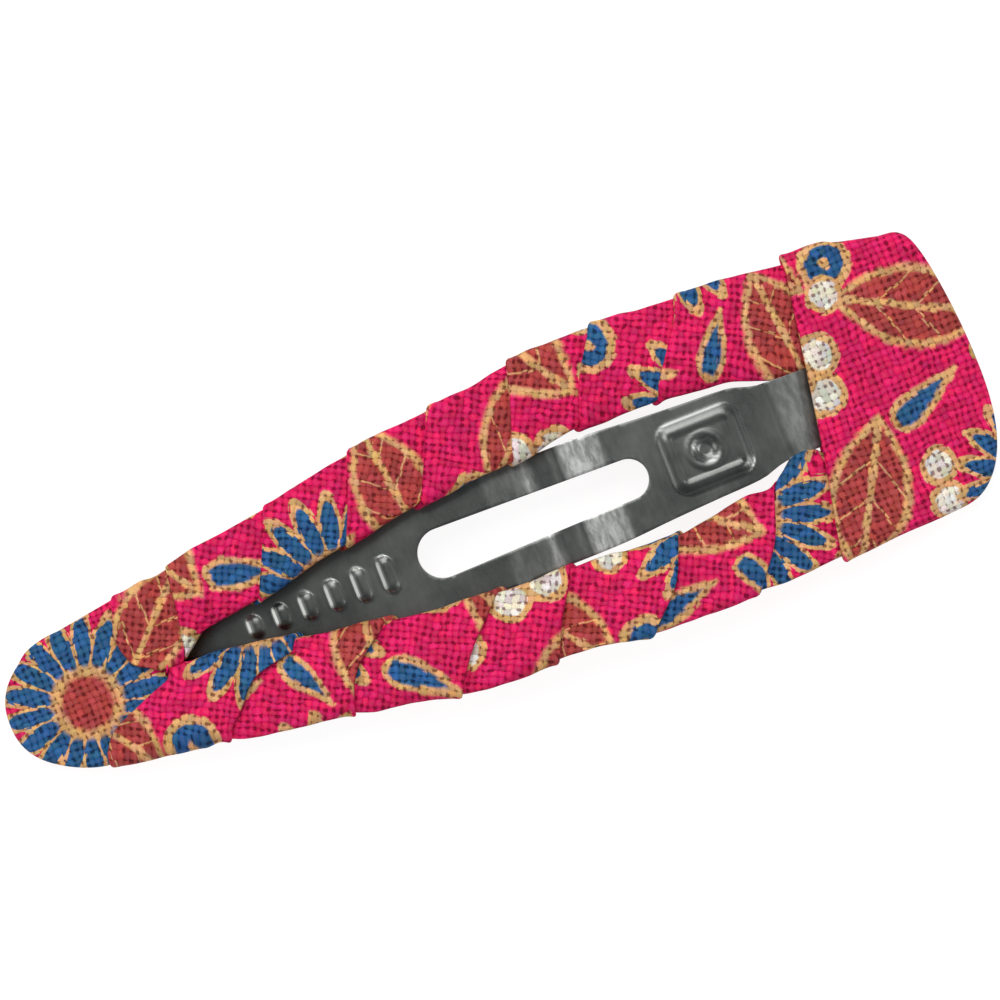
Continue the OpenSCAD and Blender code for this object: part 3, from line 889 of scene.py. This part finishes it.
# How blunt the cloth closes round an end, and how far beyond the steel it does so
close_power = 0.3
inside_room = 0.25
cap_room = 0.80
cap_edge_r = 0.17


def cap_ring(x, half, stand, flat, bow=0.0):
    """One ring of the cap; flat is 0 where it closes over the tip and 1 behind the nose."""
    off_middle = np.abs(2 * clip_share - 1)
    ring = around_clip(x + bow * (1 - off_middle), half, half, stand, flat)
    below, below_from, below_to = cap_draw_below
    always, above, above_from, above_to = cap_draw_above
    drawn_in = np.where(ring[:, 1] < 0, below * ease(x, below_from, below_to),
                        always + above * (1 - ease(x, above_from, above_to)))
    ring[:, 1] += drawn_in * off_middle
    ring[:, 2] = waved(ring, flat)
    return ring


def cap_tip_ring(angle, room, stand):
    """One ring where the cap closes round the nose, at an angle from its foremost point."""
    x = nose_x - (nose_len + room) * math.cos(angle)
    return cap_ring(x, outer_y(nose_x) * math.sin(angle), stand, math.sin(angle) ** close_power)


def cap_arm_ring(x, stand):
    """One ring where the cap lies on the arms; its edge bows toward the wide end."""
    return cap_ring(x, outer_y(x), stand, 1.0, cap_bow * ease(x, nose_x, cap_edge_x - cap_bow))


# The cap's rings: its outside from the tip to its edge, round the edge, and back along its inside
cap_outside = layer_gap + cap_t
cap_end_x = cap_edge_x - cap_bow - 0.1
cap_angles = np.radians(np.concatenate([[1.5, 4], np.arange(8, 90, 3.5)]))
cap_rings = [cap_tip_ring(angle, cap_room, cap_outside) for angle in cap_angles]
cap_rings += [cap_arm_ring(x, cap_outside) for x in np.linspace(nose_x, cap_end_x, 22)]
for turn in np.radians(np.linspace(0, 180, 7)):
    stand = mix(layer_gap, cap_outside, 0.5 + 0.5 * math.cos(turn))
    x = cap_end_x + cap_edge_r * math.sin(turn)
    cap_rings.append(cap_ring(x, outer_y(x), stand, 1.0, cap_bow))
cap_rings += [cap_arm_ring(x, layer_gap) for x in np.linspace(cap_end_x, nose_x, 12)]
cap_rings += [cap_tip_ring(angle, inside_room, layer_gap) for angle in cap_angles[::-2]]
cap_rings = np.array(cap_rings)


def unrolled(rings):
    """Where each point lies on the flat cloth: along the clip, and round its section."""
    step = np.linalg.norm(np.diff(rings, axis=1, prepend=rings[:, :1]), axis=-1)
    v = np.cumsum(step, axis=1)
    girth = v[:, -1] + np.linalg.norm(rings[:, -1] - rings[:, 0], axis=-1)
    v -= v[:, [int(np.argmin(np.abs(round_clip - top_share / 2)))]]
    return np.stack([rings[..., 0], v], axis=-1), girth


whole_ring = list(range(len(round_clip)))
ring_caps = [(0, whole_ring), (-1, whole_ring[::-1])]
cap_uv, cap_girth = unrolled(cap_rings)
tip_cap = skin_mesh("tip_cap", cap_rings, cap_uv, ring_caps, cap_girth)
tip_shift = (rosette_centre[0] + 26.0, rosette_centre[1] + 0.6)
tip_cap.data.materials.append(cotton("tip_cotton", tip_shift, 0.0))
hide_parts("tip_cover")
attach(tip_cap, "frame")

# Strip round the upper arm
# A strip of the cotton with one edge turned under, wound on from the tip in eight lapped
# turns. Each turn's folded edge lies on the turn before it, and its last turn goes under the band.
cloth_t = 0.35
lap_rise = cloth_t + layer_gap
lap_fall = [(0.0, 1.0), (0.28, 1.0), (0.48, 0.42), (0.68, 0.10), (0.86, 0.0), (1.0, 0.0)]
fold_r = 0.20

# Folded edges, tip to wide end, each as (share across the arm from its inner edge, place)
upper_folds = [
    [(0, -21.3), (1, -24.9)],
    [(0, -21.6), (0.1, -22.4), (0.24, -22.8), (0.575, -23.06), (1, -22.5)],
    [(0, -19.4), (0.5, -18.94), (1, -18.7)],
    [(0, -13.85), (0.5, -12.85), (1, -12.0)],
    [(0, -7.94), (0.5, -7.0), (1, -6.2)],
    [(0, -2.92), (0.5, -1.85), (1, -0.9)],
    [(0, 3.12), (0.5, 3.85), (1, 4.45)],
    [(0, 7.54), (0.5, 8.38), (1, 9.7)],
    [(0, 12.6), (0.45, 13.9), (0.8, 14.9), (1, 15.2)],
    [(0, 21.7), (0.5, 22.9), (1, 24.2)],
    [(0, 22.0), (0.5, 23.1), (1, 24.4)]]
# How far the cloth's inner and outer sides stand beyond the plain wrap: place, millimetres
upper_inner = [
    (-23.0, -0.8), (-21.0, -0.7), (-19.4, -0.1), (-18.0, 0.1), (-14.0, 0.15), (-9.0, 0.0), (-2.0, 0.05),
    (0.5, 0.25), (3.0, 0.38), (4.6, 0.40), (7.3, 0.32), (9.7, 0.55), (11.5, 0.60), (12.6, 0.40),
    (14.5, 0.50), (16.5, 0.68), (18.0, 1.1), (19.2, 1.40), (22.0, 1.3)]
upper_outer = [
    (-26.0, -0.20), (-24.0, -0.25), (-21.0, -0.65), (-17.5, -0.45), (-14.0, -0.35), (-11.0, -0.50),
    (-8.0, -0.20), (-5.0, -0.30), (-1.0, -0.20), (1.5, -0.25), (3.5, 0.05), (9.0, 0.10),
    (11.0, -0.10), (17.0, -0.20), (20.0, -0.2), (22.0, -0.35)]


def slope_of(here, there):
    return (there[1] - here[1]) / (there[0] - here[0])


def fold_place(folds, q):
    """Where the folded edge lies after q turns: along its row on top, then smoothly to the next."""
    n = np.clip(np.floor(q).astype(int), 0, len(folds) - 2)
    s = q - n
    u = np.clip((s - top_share) / (1 - top_share), 0, 1)
    under_per_top = (1 - top_share) / top_share
    result = np.zeros_like(q)
    for k, (row, following) in enumerate(zip(folds, folds[1:])):
        start, end = row[-1][1], following[0][1]
        limit = 3 * abs(end - start)
        slope_out = np.clip(slope_of(*row[-2:]) * under_per_top, -limit, limit)
        slope_in = np.clip(slope_of(*following[:2]) * under_per_top, -limit, limit)
        under = smooth_between(start, end, slope_out, slope_in, u)
        on_top = curve_through(row, s / top_share)
        result = np.where(n == k, np.where(s < top_share, on_top, under), result)
    return result


# The cloth's way round an arm's edge, how much a millimetre of fullness adds to it, and how the
# threads lean on the strip
side_girth = 1.9
side_growth = 1.6
strip_lean = math.radians(27)


def flat_place(x, y, q, inner, outer, inner_full, outer_full):
    """Where each point lies on the flat strip: the winding unrolled, then turned to its threads."""
    inner_side = side_girth + side_growth * inner_full
    outer_side = side_girth + side_growth * outer_full
    n = np.floor(q).astype(int)[:, None]
    s = (q % 1)[:, None] + 0 * x
    turns = [n[:, 0] == k for k in range(n.max() + 1)]
    per_turn = [float(np.mean(2 * (outer - inner)[turn])) + 2 * side_girth for turn in turns]
    centre = [float(np.mean(0.5 * (inner + outer)[turn])) for turn in turns]
    centre = np.array(centre + centre[-1:])
    wound = np.concatenate([[0], np.cumsum(per_turn)])
    top = wound[n] + y - centre[n]
    after_top = wound[n] + outer - centre[n]
    before_next = wound[n + 1] + inner - centre[n + 1] - inner_side
    outer_turn = after_top + (s - top_share) / (0.5 - top_share) * outer_side
    under = mix(after_top + outer_side, before_next, (s - 0.5) / (under_share - 0.5))
    inner_turn = before_next + (s - under_share) / (1 - under_share) * inner_side
    round_arm = np.where(s < top_share, top, np.where(
        s < 0.5, outer_turn, np.where(s < under_share, under, inner_turn)))
    way = np.sign(x[-1, 0] - x[0, 0])
    cos_lean, sin_lean = math.cos(strip_lean), math.sin(strip_lean)
    return np.stack([round_arm * cos_lean + way * x * sin_lean,
                     x * cos_lean - way * round_arm * sin_lean], axis=-1)


# How many rings a strip has in a turn, and how many points a ring has across the strip, round
# its folded edge and round its far edge
rings_per_turn = 84
strip_columns = 42
fold_points = 7
far_points = 5
# What share of the next turn a strip runs on under it, and how its folded edge swells
lap_width = 0.24
fold_bead = 0.05
fold_bead_width = 0.42
# How much tighter the laps lie on an arm's edges, and where the arms part behind the tip
edge_squeeze = 0.45
arms_part = (-20.2, -17.8)
strip_wave_h = 0.035
# How much closer a ring's points lie near the fold, how round the fold is, and where a strip
# comes down from the cap to the steel
column_power = 1.25
fold_round = 0.95
cap_step = (cap_edge_x + 0.3, cap_edge_x + 1.6)


def strip_rings(side, folds, inner_fullness, outer_fullness, crotch_y, creases):
    """Rings across a wound strip, one after the other along it, with the strip's own UV.

    Toward the tip, where the arms join, the strip's inner side runs at crotch_y.
    """
    turns = len(folds) - 2
    q = np.arange(0.5, turns, 1 / rings_per_turn)
    edge = fold_place(folds, q)
    following = fold_place(folds, q + 1)
    after = fold_place(folds, np.minimum(q + 2, len(folds) - 1 - 1e-6))
    way = np.sign(following - edge)
    lap = np.where(q >= turns - 1, 0.0, lap_width)
    far = np.where(q < 1, following - way * layer_gap, following + lap * (after - following))
    width = np.abs(far - edge)[:, None]

    # Each ring's points: distance in from the folded edge, and height above the strip's underside
    roll = np.radians(np.linspace(-80, 80, fold_points))
    back = np.radians(np.linspace(70, -70, far_points))
    half_t = cloth_t / 2
    cover = fold_r + (width - fold_r - half_t) * np.linspace(0, 1, strip_columns) ** column_power
    d = np.concatenate([
        np.repeat((fold_r - fold_r * np.cos(roll))[None], len(q), 0), cover,
        width - half_t + half_t * np.cos(back)[None], cover[:, ::-1]], axis=1)
    lift = np.concatenate([
        half_t + fold_r * np.sin(roll) * fold_round, np.full(strip_columns, cloth_t),
        half_t + half_t * np.sin(back), np.zeros(strip_columns)])[None] + 0 * d
    lift += ridge(d, np.where(lift > half_t, fold_bead, -0.2 * fold_bead), 0, fold_bead_width)
    x = edge[:, None] + way[:, None] * d

    s = (q % 1)[:, None] + 0 * d
    share, face, away, up = section_at(s)
    g = d / np.abs(following - edge)[:, None]
    fall = curve_through(lap_fall, g)
    rise = np.where(q[:, None] < 2, 0, lap_rise)
    over_cap = 1 - ease(x, *cap_step)
    capped = over_cap * (cap_t + layer_gap + crown * (up > 0))
    height = layer_gap + rise * fall * (1 - edge_squeeze * np.abs(away)) + capped + lift

    inner = mix(inner_y(x), crotch_y, 1 - ease(x, *arms_part))
    outer = outer_y(x)
    inner_full = curve_through(inner_fullness, x)
    outer_full = curve_through(outer_fullness, x)
    y = mix(inner, outer, share)
    y = y + away * (height + np.where(away > 0, away * outer_full, -away * inner_full))
    wave = strip_wave_h * ripple(x, y, 0 * x, side)
    z = arch_z(x) + face * sheet_t / 2 + up * (height + crowned(share, up) + wave)
    y = y + away * wave
    for at_q, at_g, q_size, g_size, rise_mm in creases:
        z += ridge(q[:, None], rise_mm, at_q, q_size) * ridge(g, 1.0, at_g, g_size) * np.sign(up)
    rings = np.stack([x, side * y, z], axis=-1)
    return rings, flat_place(x, y, q, inner, outer, inner_full, outer_full)


def strip_caps():
    """Faces that close one end of a strip, between its upper and its under side."""
    far_at = fold_points + strip_columns
    under_at = far_at + far_points
    top = list(range(fold_points, far_at))
    under = list(range(under_at, under_at + strip_columns))[::-1]
    faces = [[top[i], top[i + 1], under[i + 1], under[i]] for i in range(strip_columns - 1)]
    faces.append([under[0]] + list(range(fold_points)) + [top[0]])
    faces.append([top[-1]] + list(range(far_at, under_at)) + [under[-1]])
    return faces


def wind_strip(name, *winding):
    caps = [(end, face) for end in (0, -1) for face in strip_caps()]
    return skin_mesh(name, *strip_rings(*winding), caps)


# Extra creases: turns along the strip, share of the turn's width, their sizes, height
upper_creases = [
    (6.15, 0.62, 0.10, 0.05, 0.10), (6.22, 0.80, 0.08, 0.04, -0.05), (2.10, 0.35, 0.10, 0.10, 0.05),
    (4.20, 0.55, 0.12, 0.10, 0.05), (8.12, 0.40, 0.10, 0.10, 0.05)]
upper_strip = wind_strip(
    "upper_strip", 1, upper_folds, upper_inner, upper_outer, -0.08, upper_creases)
upper_strip.data.materials.append(cotton("upper_cotton", (9.0, 2.5), 0.45))
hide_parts("upper_wrap")
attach(upper_strip, "frame")

# Strip round the lower arm
# The same cloth wound on from the wide end in seven turns, so each turn's raised edge faces
# the wide end. Its last turn lies on the tip's cap, and its first bunches up beside the root.
lower_folds = [
    [(0, 22.0), (1, 23.2)],
    [(0, 20.5), (0.5, 20.55), (1, 20.6)],
    [(0, 16.5), (0.5, 15.6), (1, 13.9)],
    [(0, 10.17), (0.5, 9.2), (1, 7.3)],
    [(0, 3.42), (0.5, 2.2), (1, 1.27)],
    [(0, -1.24), (0.5, -3.15), (1, -4.65)],
    [(0, -8.1), (0.35, -9.7), (0.67, -10.6), (1, -11.1)],
    [(0, -13.4), (0.22, -15.65), (0.4, -16.55), (0.65, -17.26), (1, -18.4)],
    [(0, -20.9), (0.16, -22.4), (0.56, -25.0), (1, -26.0)],
    [(0, -21.2), (1, -26.1)]]
lower_inner = [
    (-20.0, 0.0), (-18.6, 0.3), (-17.8, 0.5), (-13.6, 0.35), (-10.6, 0.2), (-4.0, 0.0), (1.0, 0.15),
    (2.5, 0.22), (4.3, 0.38), (6.2, 0.50), (7.3, 0.30), (8.7, 0.15), (10.3, 0.12), (11.8, 0.30),
    (13.3, 0.42), (15.0, 0.60), (16.6, 0.40), (17.5, 0.90), (18.3, 1.45), (19.2, 1.55), (19.9, 1.3),
    (20.4, 0.8), (22.0, 0.7)]
lower_outer = [
    (-26.0, 0.05), (-24.0, 0.10), (-22.0, -0.05), (-20.5, -0.2), (-18.0, 0.42), (-15.0, 0.28),
    (-12.0, 0.07), (-10.0, 0.40), (-7.0, 0.05), (-4.5, 0.35), (-2.0, 0.25), (0.0, -0.05),
    (4.5, -0.30), (7.5, 0.0), (11.0, -0.25), (13.5, -0.3), (15.0, -0.1), (20.0, -0.1)]
lower_creases = [
    (3.15, 0.30, 0.12, 0.05, 0.08), (5.15, 0.55, 0.12, 0.10, 0.05), (7.10, 0.45, 0.12, 0.12, 0.06)]
lower_strip = wind_strip(
    "lower_strip", -1, lower_folds, lower_inner, lower_outer, 1.0, lower_creases)
lower_strip.data.materials.append(cotton("lower_cotton", (7.5, 1.0), -0.4))
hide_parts("lower_wrap")
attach(lower_strip, "frame")

# Band over the wide end
# A wide piece of the cotton folded over the wide end and glued down, its front edge turned
# under. It lies over the ends of both strips, so it stands a little higher at its front.
band_t = 0.5
band_front = [(-9.4, 18.9), (-3.2, 20.15), (2.0, 21.05), (9.0, 22.2)]
band_raised = layer_gap + cloth_t + crown + layer_gap
rest_height = 0.05
band_wave_seed = 2.0
band_room = 0.86
band_edge_x = band_x + 0.2
front_half_t = 0.22
front_mid_z = 0.4 * band_t
front_depth = 0.2
front_lip = (0.06, band_x, 0.5)
# Where the band, coming from its corners, has taken its front's slant, where it has risen over
# the strips on its inside and on its outside, and how much of that rise it has at the corners
band_slanted_x = 23.0
inside_risen_x = 24.4
outside_risen_x = 22.0
corner_rise = 0.15
# How much the band draws in toward its front, above and below, and from where to where
band_snug = (0.35, 0.15)
band_snug_x = (22.5, 26.0)


def band_ring(x_up, x_down, half_up, half_down, stand, flat, front):
    """One ring of the band; front is 1 at its slanted front edge and 0 past the corners."""
    slanted = curve_through(band_front, (2 * clip_share - 1) * half_up)
    x = mix(x_down, x_up, ease(clip_share, 0.1, 0.9))
    x = mix(x, slanted + (x - band_x), front)
    snug_up, snug_down = [(1 - ease(x, *band_snug_x)) * most for most in band_snug]
    ring = around_clip(x, half_up - snug_up, half_down - snug_down, stand, flat)
    ring[:, 0], ring[:, 1] = end_plan(ring[:, 0], ring[:, 1])
    ring[:, 2] = np.maximum(waved(ring, flat, band_wave_seed), rest_height)
    return ring


def band_end_ring(angle, room, stand, flat):
    """One ring round the corners of the wide end, which are squarer above than below."""
    xs, halves = zip(*[corner_point(angle, power, room) for power in corner_powers])
    return band_ring(*xs, *halves, stand, flat, 0.0)


def band_arm_ring(x, stand, front):
    return band_ring(x, x, outer_y(x), outer_y(x), stand, 1.0, front)


def band_outside(share):
    """Height of the band's outer side: 0 where it lies on the steel, 1 where on the strips."""
    return mix(layer_gap + band_t, band_raised + cloth_t, share)


# The band's rings: its inside from the closed end to its front, round the front, and back outside
band_angles = np.radians(np.concatenate([np.arange(90, 12, -3), [10, 7, 4, 2, 1]]))
band_rings = [band_end_ring(angle, inside_room, layer_gap, 1.0) for angle in band_angles[::-1]]
for x in np.linspace(corner_x, band_edge_x, 14)[1:]:
    stand = mix(layer_gap, band_raised, ease(x, corner_x, inside_risen_x))
    band_rings.append(band_arm_ring(x, stand, ease(x, corner_x, band_slanted_x)))
for turn in np.radians(np.linspace(-80, 80, 7)):
    stand = band_raised + front_mid_z + front_half_t * math.sin(turn)
    band_rings.append(band_arm_ring(band_edge_x - front_depth * math.cos(turn), stand, 1.0))
for x in np.linspace(band_edge_x, corner_x, 40):
    risen = mix(corner_rise, 1, ease(x, corner_x + 1, outside_risen_x))
    stand = band_outside(risen) + ridge(x, *front_lip)
    band_rings.append(band_arm_ring(x, stand, ease(x, corner_x, band_slanted_x)))
for angle in band_angles[1:]:
    stand = band_outside(corner_rise * ease(math.sin(angle), 0.8, 1.0))
    band_rings.append(band_end_ring(angle, band_room, stand, math.sin(angle) ** close_power))
band_rings = np.array(band_rings)
band_uv, band_girth = unrolled(band_rings)
end_cover = skin_mesh("end_cover", band_rings, band_uv, ring_caps, band_girth)
end_cover.data.materials.append(cotton("band_cotton", (4.0, 9.0), 1.45))
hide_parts("end_band")
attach(end_cover, "frame")
